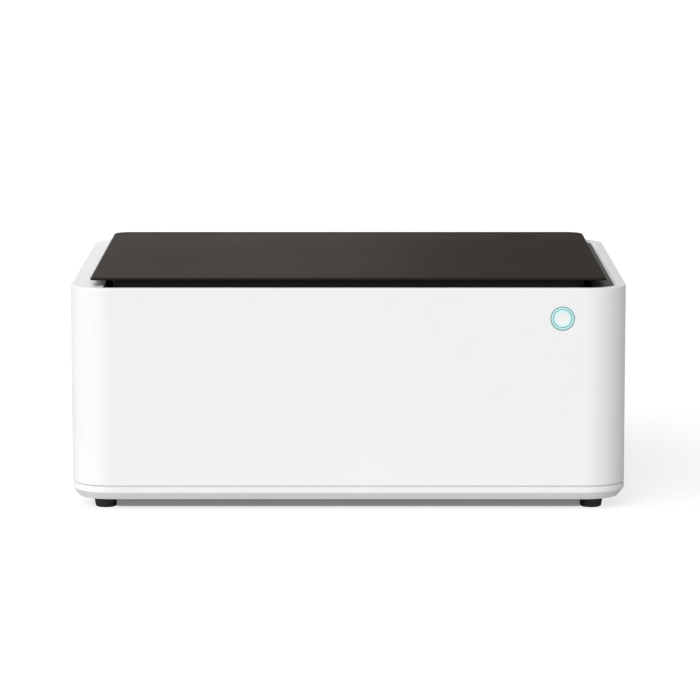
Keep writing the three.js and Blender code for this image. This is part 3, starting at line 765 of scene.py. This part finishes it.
def timing_pulley(at, axis, lo, hi, r):
    """A flanged pulley toothed for its belt, between lo and hi along its axis."""
    flange = r + 1.2 * MM
    lip = 0.8 * MM
    tooth = 0.5 * MM
    profile = [(0, lo), (flange - 0.2 * MM, lo), (flange, lo + 0.2 * MM), (flange, lo + 0.6 * MM)]
    profile += [(r, lo + lip, tooth), (r, hi - lip, tooth)]
    profile += [(flange, hi - 0.6 * MM), (flange, hi - 0.2 * MM), (flange - 0.2 * MM, hi)]
    profile.append((0, hi))
    return turned("pulley", profile, at, axis, 80)


def build_pulleys():
    """The belts' idlers and drive pulley, and the through shaft with a pulley near each end."""
    r = 6.4 * MM
    for side, body in (("left", "left_idler"), ("right", "right_idler")):
        node = f"y_idler_{side}"
        lo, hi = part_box(node)
        centre = (lo + hi) / 2
        mesh = timing_pulley((0, centre.y, centre.z), "x", lo.x, hi.x, r)
        piece(f"{node}_pulley", mesh, PULLEY, body, [node], bevel=0)
    for node, body in (("x_pulley", "x_drive_pulley"), ("x_idler", "x_idler_pulley")):
        lo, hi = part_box(node)
        centre = (lo + hi) / 2
        mesh = timing_pulley((centre.x, centre.y, 0), "z", lo.z, hi.z, r)
        piece(f"{node}_wheel", mesh, PULLEY, body, [node], bevel=0)
    lo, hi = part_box("y_shaft")
    centre = (lo + hi) / 2
    at = (0, centre.y, centre.z)
    half_w = 4.2 * MM
    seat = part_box("y_idler_right")[0].x + half_w
    rod = [(0, lo.x), (2.6 * MM, lo.x), (3 * MM, lo.x + 0.4 * MM), (3 * MM, hi.x - 0.4 * MM)]
    rod += [(2.6 * MM, hi.x), (0, hi.x)]
    parts = [turned("rod", rod, at, "x", 32)]
    for x in (-seat, seat):
        parts.append(timing_pulley(at, "x", x - half_w, x + half_w, r))
    piece("drive_shaft_set", joined("shaft", parts), PULLEY, "drive_shaft", ["y_shaft"], bevel=0)


def chamfered(lo_a, hi_a, lo_b, hi_b, c):
    """A rectangle's corners, each cut off by c."""
    return [(lo_a + c, lo_b), (hi_a - c, lo_b), (hi_a, lo_b + c), (hi_a, hi_b - c),
            (hi_a - c, hi_b), (lo_a + c, hi_b), (lo_a, hi_b - c), (lo_a, lo_b + c)]


def centre_of(section):
    """The mean of a section's points."""
    n = len(section)
    return sum(a for a, b in section) / n, sum(b for a, b in section) / n


def stepper(name, section, axis, start, end, body, nodes, extra=()):
    """A stepper motor: a dark laminated core, a little smaller than the bright caps at its ends."""
    cap = (end - start) * 0.24
    shrink = 0.97
    mid_a, mid_b = centre_of(section)
    core = [(mid_a + shrink * (a - mid_a), mid_b + shrink * (b - mid_b)) for a, b in section]
    mesh = extruded("core", core, axis, start + cap, end - cap)
    piece(f"{name}_core", mesh, MOTOR, body, bevel=0.2 * MM)
    caps = [extruded("cap", section, axis, a, a + cap) for a in (start, end - cap)]
    piece(f"{name}_caps", joined("caps", [*caps, *extra]), BED, body, nodes, bevel=0.3 * MM)


def build_motors():
    """The side belts' motor, and the head belt's motor on its bracket behind the gantry."""
    lo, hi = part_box("y_motor")
    section = chamfered(lo.y, hi.y, lo.z, hi.z, 2.5 * MM)
    stepper("y_stepper", section, "x", lo.x, hi.x, "housing", ["y_motor"])
    lo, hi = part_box("x_motor")
    base = 179.6 * MM
    bracket = brick((lo.x, hi.y - 4.5 * MM, lo.z), (hi.x, hi.y - 1 * MM, base + 1 * MM))
    section = chamfered(lo.x, hi.x, lo.y, hi.y, 3 * MM)
    stepper("x_stepper", section, "z", base, hi.z, "gantry", ["x_motor"], [bracket])
    inset = 3.6 * MM
    head = hi.z - 1.2 * MM
    places = [(x, y, head) for x in (lo.x + inset, hi.x - inset) for y in (lo.y + inset, hi.y - inset)]
    screws("x_stepper_screws", places, r=1.5 * MM, body="gantry")


def beam_section(lo, hi):
    """The gantry beam's outline, with a T-slot along its top and its back."""
    mouth = 1.6 * MM
    deep = 3.2 * MM
    wide = 3.2 * MM
    lip = 1.2 * MM
    back_set = 2 * MM
    y = (lo.y + hi.y) / 2 + back_set
    z = (lo.z + hi.z) / 2
    top = [(y + mouth, hi.z), (y + mouth, hi.z - lip), (y + wide, hi.z - lip), (y + wide, hi.z - deep)]
    top += [(2 * y - a, b) for a, b in reversed(top)]
    back = [(hi.y, z - mouth), (hi.y - lip, z - mouth), (hi.y - lip, z - wide), (hi.y - deep, z - wide)]
    back += [(a, 2 * z - b) for a, b in reversed(back)]
    return [(lo.y, lo.z), (hi.y, lo.z), *back, (hi.y, hi.z), *top, (lo.y, hi.z)]


def build_rails():
    """The side rails, each with a groove along its inner face, and the gantry's beam and head rail."""
    edge = 0.6 * MM
    groove = 3 * MM
    dip = 1.4 * MM
    for side, outward in (("left", -1), ("right", 1)):
        node = f"y_rail_{side}"
        lo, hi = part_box(node)
        near = lo.x if outward > 0 else hi.x
        far = hi.x if outward > 0 else lo.x
        z = (lo.z + hi.z) / 2
        shy = near + edge * outward
        deep = near + dip * outward
        section = [(lo.z, shy), (lo.z, far), (hi.z, far), (hi.z, shy), (hi.z - edge, near)]
        section += [(z + groove, near), (z + groove - dip, deep), (z - groove + dip, deep)]
        section += [(z - groove, near), (lo.z + edge, near)]
        mesh = extruded(node, section, "y", lo.y, hi.y)
        piece(f"{node}_bar", mesh, RAIL_Y, nodes=[node], bevel=0.15 * MM)
        places = [((lo.x + hi.x) / 2, lo.y + (12 + 48 * i) * MM, hi.z - edge) for i in range(8)]
        screws(f"{node}_screws", places, r=1.8 * MM)
    lo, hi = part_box("gantry_beam")
    mesh = extruded("beam", beam_section(lo, hi), "x", lo.x, hi.x)
    piece("slotted_beam", mesh, BED, "gantry", ["gantry_beam"])
    dress("x_rail", RAIL_X, 0.3 * MM)
    lo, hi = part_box("x_rail")
    places = [((i - 5) * 40 * MM, lo.y + 0.5 * MM, (lo.z + hi.z) / 2) for i in range(11)]
    screws("x_rail_screws", places, "y", 1.4 * MM, -1, "gantry")


def build_drives():
    """The belts, the gantry's end blocks and the plate that carries the head."""
    for node in ("y_belt_left", "y_belt_right"):
        dress(node, BELT_Y, 0.1 * MM)
    dress("x_belt", BELT_X, 0.1 * MM)
    for node in ("gantry_block_left", "gantry_block_right"):
        dress(node, ANODISED, 0.8 * MM)
        lo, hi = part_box(node)
        x = (lo.x + hi.x) / 2
        places = [(x + dx * 6 * MM, lo.y + dy * MM, hi.z) for dx in (-1, 1) for dy in (8, 34)]
        screws(f"{node}_screws", places, r=2 * MM, body="gantry")
    dress("carriage_plate", BED, 0.3 * MM)


# ----------------------------------------------------------------------- head

def laser_section(lo, hi):
    """The laser's outline seen from above, finned on its left and back sides."""
    pitch = 4.4 * MM
    fin = 2.0 * MM
    deep = 5 * MM
    points = [(lo.x, lo.y), (hi.x, lo.y), (hi.x, hi.y)]
    x = hi.x - 4 * MM
    while x - pitch > lo.x + 8 * MM:
        points += [(x, hi.y), (x, hi.y - deep), (x - pitch + fin, hi.y - deep), (x - pitch + fin, hi.y)]
        x -= pitch
    points.append((lo.x, hi.y))
    y = hi.y - 5 * MM
    while y - pitch > lo.y + 4 * MM:
        points += [(lo.x, y), (lo.x + deep, y), (lo.x + deep, y - pitch + fin), (lo.x, y - pitch + fin)]
        y -= pitch
    return points


def build_laser():
    """The finned laser with a round well for its fan, and the brass nozzle under it."""
    lo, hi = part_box("laser_module")
    block_top = 164 * MM
    nozzle_lo, nozzle_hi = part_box("laser_nozzle")
    axis = ((nozzle_lo.x + nozzle_hi.x) / 2, (nozzle_lo.y + nozzle_hi.y) / 2, 0)
    block = extruded("laser", laser_section(lo, hi), "z", lo.z, block_top)
    well_in = 15.8 * MM
    well_out = 17.2 * MM
    shoulder = hi.z - 0.4 * MM
    well = [(well_in, block_top), (well_out, block_top), (well_out, shoulder)]
    well += [(well_out - 0.3 * MM, hi.z), (well_in + 0.3 * MM, hi.z), (well_in, shoulder)]
    body = joined("laser", [block, turned("well", well, axis, closed=True)])
    piece("finned_laser", body, ANODISED, "carriage", ["laser_module"], bevel=0.25 * MM)
    z = nozzle_lo.z
    knurl = 0.35 * MM
    tip = [(1.2 * MM, z + 2 * MM), (1.2 * MM, z), (3.6 * MM, z), (4 * MM, z + 0.4 * MM)]
    tip += [(6 * MM, z + 3 * MM), (10.6 * MM, z + 15.5 * MM), (11 * MM, z + 16.2 * MM)]
    tip += [(11 * MM, z + 17 * MM, knurl), (11 * MM, nozzle_hi.z - 1 * MM, knurl)]
    tip += [(10.6 * MM, nozzle_hi.z), (0, nozzle_hi.z)]
    nozzle = turned("nozzle", [(0, z + 2 * MM), *tip], axis, steps=96)
    piece("brass_tip", nozzle, NOZZLE, "carriage", ["laser_nozzle"], bevel=0)
    fan_lo, fan_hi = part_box("laser_fan")
    gap = 0.1 * MM
    tip_r = 14.6 * MM
    hub_r = 6 * MM
    height = fan_hi.z - fan_lo.z - 2 * gap
    rotor = fan((axis[0], axis[1], fan_lo.z + gap), "z", tip_r, hub_r, height, 9)
    piece("laser_rotor", rotor, FAN, "fan_rotor", ["laser_fan"], bevel=0)
    inset = 3.4 * MM
    places = [(lo.x + inset, lo.y + inset, block_top), (hi.x - inset, lo.y + inset, block_top)]
    screws("laser_screws", places, r=1.5 * MM, body="carriage")


def build_head():
    """The white cover with a fine groove round its face, the tool's cartridge, and the plate's screws."""
    lo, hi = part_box("head_cover")
    deep = hi.y - lo.y
    levels = [(0.3 * MM, deep), (0, deep - 0.3 * MM), (0, 1.2 * MM), (0.35 * MM, 0.35 * MM)]
    levels += [(1.2 * MM, 0), (9 * MM, 0), (9.3 * MM, 0.4 * MM), (9.9 * MM, 0.4 * MM), (10.2 * MM, 0)]
    mesh = slab("cover", lo, hi, 7 * MM, levels)
    piece("cover_plate", mesh, SHELL, "carriage", ["head_cover"], bevel=0)
    dress("tool_holder", TRIM, 0.6 * MM)
    cart_lo, cart_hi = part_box("blade_cartridge")
    at = ((cart_lo.x + cart_hi.x) / 2, (cart_lo.y + cart_hi.y) / 2, 0)
    z = cart_lo.z
    knurl = 0.35 * MM
    body = [(0, z), (0.3 * MM, z), (0.7 * MM, z + 1.5 * MM), (3.3 * MM, z + 7.6 * MM)]
    body += [(3.5 * MM, z + 8 * MM), (5.2 * MM, z + 13 * MM), (5.2 * MM, z + 74.4 * MM)]
    body += [(7.6 * MM, z + 74.4 * MM), (8 * MM, z + 75 * MM), (8 * MM, z + 75.6 * MM, knurl)]
    body += [(8 * MM, cart_hi.z - 1.2 * MM, knurl), (7.4 * MM, cart_hi.z), (0, cart_hi.z)]
    mesh = turned("cartridge", body, at, steps=96)
    piece("cartridge", mesh, RAIL, "tool", ["blade_cartridge"], bevel=0)
    plate_lo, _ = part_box("carriage_plate")
    face = plate_lo.y + 0.6 * MM
    places = [(x * MM, face, level * MM) for x in (-24, 24) for level in (136.5, 173)]
    screws("carriage_screws", places, "y", 1.8 * MM, -1, "carriage")


# ----------------------------------------------------------------------- rear

def build_exhaust():
    """The port's collar and finger guard, and the fan that blows through them."""
    lo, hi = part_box("exhaust_collar")
    outer = (hi.x - lo.x) / 2
    inner = outer - 7.5 * MM
    centre = (lo + hi) / 2
    at = (centre.x, 0, centre.z)
    lip = 1.2 * MM
    profile = [(inner, lo.y), (outer, lo.y), (outer, hi.y - lip), (outer - 0.4 * lip, hi.y - 0.3 * lip)]
    profile += [(outer - lip, hi.y), (inner + 3.2 * MM, hi.y), (inner + 2.6 * MM, hi.y - 0.8 * MM)]
    profile += [(inner + 0.6 * MM, hi.y - 0.8 * MM), (inner, hi.y - 1.4 * MM)]
    mesh = turned("collar", profile, at, "y", 128, closed=True)
    piece("port_collar", mesh, TRIM, nodes=["exhaust_collar"], bevel=0)
    build_grille(centre, lo.y)
    dress("exhaust_fan_frame", FAN, 0.4 * MM)
    rotor_lo, rotor_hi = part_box("exhaust_fan_rotor")
    gap = 0.2 * MM
    tip_r = 37.4 * MM
    hub_r = 12 * MM
    height = rotor_hi.y - rotor_lo.y - 2 * gap
    rotor = fan((centre.x, rotor_lo.y + gap, centre.z), "y", tip_r, hub_r, height)
    piece("exhaust_rotor_blades", rotor, FAN, "exhaust_rotor", ["exhaust_fan_rotor"], bevel=0)


def build_grille(centre, y):
    """A finger guard across the port: rings of steel wire on four spokes."""
    wire = 0.55 * MM
    at = (centre.x, 0, centre.z)
    level = y + 1.2 * MM
    parts = []
    for r in (10, 16, 22, 28, 34):
        profile = [(r * MM + a, b) for a, b in arc(0, level, wire, 0, 0.875, 7)]
        parts.append(turned("wire", profile, at, "y", 96, closed=True))
    hub_r = 10 * MM
    reach = 35.8 * MM
    low = level - 1.1 * MM
    for k in range(4):
        a = TURN * (k / 4 + 0.125)
        out = Vector((math.cos(a), 0, math.sin(a)))
        side = Vector((-math.sin(a), 0, math.cos(a))) * wire
        deep = Vector((0, wire, 0))
        around = [side * math.cos(TURN * i / 8) + deep * math.sin(TURN * i / 8) for i in range(8)]
        middles = [Vector((centre.x, low, centre.z)) + out * r for r in (hub_r, reach)]
        parts.append(loft("spoke", [[mid + step for step in around] for mid in middles]))
    piece("fan_guard", joined("guard", parts), RAIL, bevel=0)


def build_sockets():
    """The sunk panel with its inlet, data socket and switch."""
    dress("rear_panel", TRIM, 0.3 * MM)
    lo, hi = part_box("rear_panel")
    inset = 5 * MM
    places = [(x, hi.y, z) for x in (lo.x + inset, hi.x - inset) for z in (lo.z + inset, hi.z - inset)]
    screws("panel_screws", places, "y", 1.6 * MM)
    dress("power_inlet", BLACK, 0.4 * MM)
    lo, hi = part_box("power_inlet")
    centre = (lo + hi) / 2
    floor = lo.y + 3 * MM
    pins = []
    for dx, dz in ((-7, -2.5), (0, 2.5), (7, -2.5)):
        x, z = centre.x + dx * MM, centre.z + dz * MM
        levels = [(0, 0), (0, 11 * MM), (0.5 * MM, 12 * MM)]
        low = (x - 1 * MM, floor - 0.5 * MM, z - 2 * MM)
        high = (x + 1 * MM, floor, z + 2 * MM)
        pins.append(slab("pin", low, high, 0.4 * MM, levels, 3))
    piece("inlet_pins", joined("pins", pins), RAIL, bevel=0)
    dress("usb_socket", RAIL, 0.2 * MM)
    lo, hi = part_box("usb_socket")
    centre = (lo + hi) / 2
    levels = [(0, 0), (0, 10 * MM), (0.4 * MM, 10.6 * MM)]
    tongue = slab("tongue", (centre.x - 3 * MM, lo.y + 3 * MM, centre.z - 2.4 * MM),
                  (centre.x + 3 * MM, lo.y + 4 * MM, centre.z + 2.4 * MM), 0.6 * MM, levels, 3)
    piece("usb_tongue", tongue, BLACK, bevel=0)
    dress("power_rocker", BLACK, 0.4 * MM)


def board_parts(lo, face):
    """Flat chips and round cans, scattered over the board in a loose grid."""
    rng = random.Random(7)
    chips = []
    cans = []
    r = 3.4 * MM
    can = [(0, 0), (r, 0), (r, 1 * MM), (r - 0.3 * MM, 1.5 * MM), (r, 2 * MM), (r, 9 * MM)]
    can += [(r - 0.6 * MM, 9.6 * MM), (0, 9.6 * MM)]
    for i in range(5):
        for j in range(3):
            x = lo.x + (16 + 29 * i + rng.uniform(-3, 3)) * MM
            z = lo.z + (16 + 32 * j + rng.uniform(-4, 4)) * MM
            half = rng.uniform(3, 7) * MM
            levels = [(0, 0), (0, 1.2 * MM), (0.3 * MM, 1.8 * MM)]
            if (i + j) % 3:
                low = (x - half, face, z - half)
                high = (x + half, face + 1 * MM, z + half)
                chips.append(slab("chip", low, high, 0.4 * MM, levels, 3))
            else:
                cans.append(turned("can", can, (x, face, z), "y", 32))
    return chips, cans


def board_headers(lo, face, top):
    """A row of headers along the board's top edge."""
    headers = []
    for i in range(6):
        x = lo.x + (14 + 22 * i) * MM
        levels = [(0, 0), (0, 5.5 * MM), (0.4 * MM, 6 * MM)]
        low = (x - 5 * MM, face, top - 9 * MM)
        high = (x + 5 * MM, face + 1 * MM, top - 3 * MM)
        headers.append(slab("header", low, high, 0.5 * MM, levels, 3))
    return headers


def build_electronics():
    """The supply in its sleeve, and the control board with its chips, cans and headers."""
    dress("power_supply", BED, 0.6 * MM)
    dress("control_board", BOARD, 0)
    lo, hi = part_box("control_board")
    chips, cans = board_parts(lo, hi.y)
    headers = board_headers(lo, hi.y, hi.z)
    piece("board_chips", joined("chips", chips), BLACK, bevel=0)
    piece("board_cans", joined("cans", cans), PULLEY, bevel=0)
    piece("board_headers", joined("headers", headers), SHELL, bevel=0)


# ---------------------------------------------------------------------- stage

def by_ray(tree, unseen, seen, output):
    """Gives the camera's own rays the seen shader, and every ray that has bounced the unseen one."""
    choice = tree.nodes.new("ShaderNodeMixShader")
    ray = tree.nodes.new("ShaderNodeLightPath")
    tree.links.new(ray.outputs["Is Camera Ray"], choice.inputs["Fac"])
    tree.links.new(unseen, choice.inputs[1])
    tree.links.new(seen, choice.inputs[2])
    tree.links.new(choice.outputs["Shader"], tree.nodes[output].inputs["Surface"])


def build_stage():
    """A seamless white floor, dimmer in what it throws back on the object than to the camera."""
    span = 60.0
    thick = 0.02
    floor = bpy.data.objects.new("floor", brick((-span, -span, -thick), (span, span, 0)))
    bpy.context.scene.collection.objects.link(floor)
    paint = Paint("floor_white", (0.32, 0.32, 0.32), 0.9)
    paint.mottle(0.5, 0.003)
    paint.set("Specular IOR Level", 0.0)
    tree = paint.tree
    glow = tree.nodes.new("ShaderNodeEmission")
    glow.inputs["Strength"].default_value = 0.74
    both = tree.nodes.new("ShaderNodeAddShader")
    dull = tree.nodes.new("ShaderNodeBsdfDiffuse")
    dull.inputs["Color"].default_value = (0.55, 0.55, 0.55, 1)
    paint.link(paint.shader.outputs["BSDF"], both.inputs[0])
    paint.link(glow.outputs["Emission"], both.inputs[1])
    by_ray(tree, dull.outputs["BSDF"], both.outputs["Shader"], "Material Output")
    floor.data.materials.append(paint.material)


def build_sky():
    """Studio light from all round, strongest from the left, front and below, and a white backdrop."""
    even = 0.865
    lean = (-0.385, -0.32, -0.48)
    world = bpy.data.worlds.new("studio")
    bpy.context.scene.world = world
    world.use_nodes = True
    tree = world.node_tree
    background = tree.nodes["Background"]
    background.inputs["Color"].default_value = (1, 1, 1, 1)
    place = tree.nodes.new("ShaderNodeTexCoord")
    slope = tree.nodes.new("ShaderNodeVectorMath")
    slope.operation = "DOT_PRODUCT"
    slope.inputs[1].default_value = lean
    level = tree.nodes.new("ShaderNodeMath")
    level.inputs[1].default_value = even
    tree.links.new(place.outputs["Generated"], slope.inputs[0])
    tree.links.new(slope.outputs["Value"], level.inputs[0])
    tree.links.new(level.outputs["Value"], background.inputs["Strength"])
    backdrop = tree.nodes.new("ShaderNodeBackground")
    backdrop.inputs["Color"].default_value = (1, 1, 1, 1)
    by_ray(tree, background.outputs["Background"], backdrop.outputs["Background"], "World Output")


def lamp(name, kind, at, aim, energy):
    """Adds a light that looks from one place to another, and gives back its data."""
    data = bpy.data.lights.new(name, kind)
    data.energy = energy
    light = bpy.data.objects.new(name, data)
    light.location = at
    light.rotation_euler = (Vector(aim) - Vector(at)).to_track_quat("-Z", "Y").to_euler()
    bpy.context.scene.collection.objects.link(light)
    return data


def build_lamps():
    """A very broad key from the front left, a fill from the left, and a soft strip behind on the left."""
    centre = (0, 0, 0)
    lift = math.radians(40)
    swing = math.radians(30)
    level = math.cos(lift)
    key_at = (-math.sin(swing) * level, -math.cos(swing) * level, math.sin(lift))
    lamp("key", "SUN", key_at, centre, 1.52).angle = math.radians(50)
    lamp("fill", "SUN", (-2.0, 0, 3.4), centre, 0.235).angle = math.radians(25)
    strip = lamp("strip", "AREA", (-0.95, 2.6, 0.62), (-0.2, 0, 0.23), 7)
    strip.shape = "RECTANGLE"
    strip.size = 2.2
    strip.size_y = 0.8
    bpy.data.objects["strip"].visible_camera = False


def build_camera():
    """A long lens in front of the object, looking a little down on it."""
    tilt = 8.118
    data = bpy.data.cameras.new("camera")
    data.sensor_width = 36
    data.lens = 195.2
    data.shift_x = 0.00227
    data.clip_end = 200
    camera = bpy.data.objects.new("camera", data)
    camera.location = (0, -3.9347, 0.6918)
    camera.rotation_euler = (math.radians(90 - tilt), 0, 0)
    bpy.context.scene.collection.objects.link(camera)
    bpy.context.scene.camera = camera


build_camera()
build_stage()
build_sky()
build_lamps()
bpy.context.scene.view_settings.view_transform = "Standard"

build_casing()
build_base()
build_seam()
build_plate()
build_feet()
build_lid()
build_hinges()
build_surround()
build_button()
build_chamber()
build_pulleys()
build_motors()
build_rails()
build_drives()
build_laser()
build_head()
build_exhaust()
build_sockets()
build_electronics()
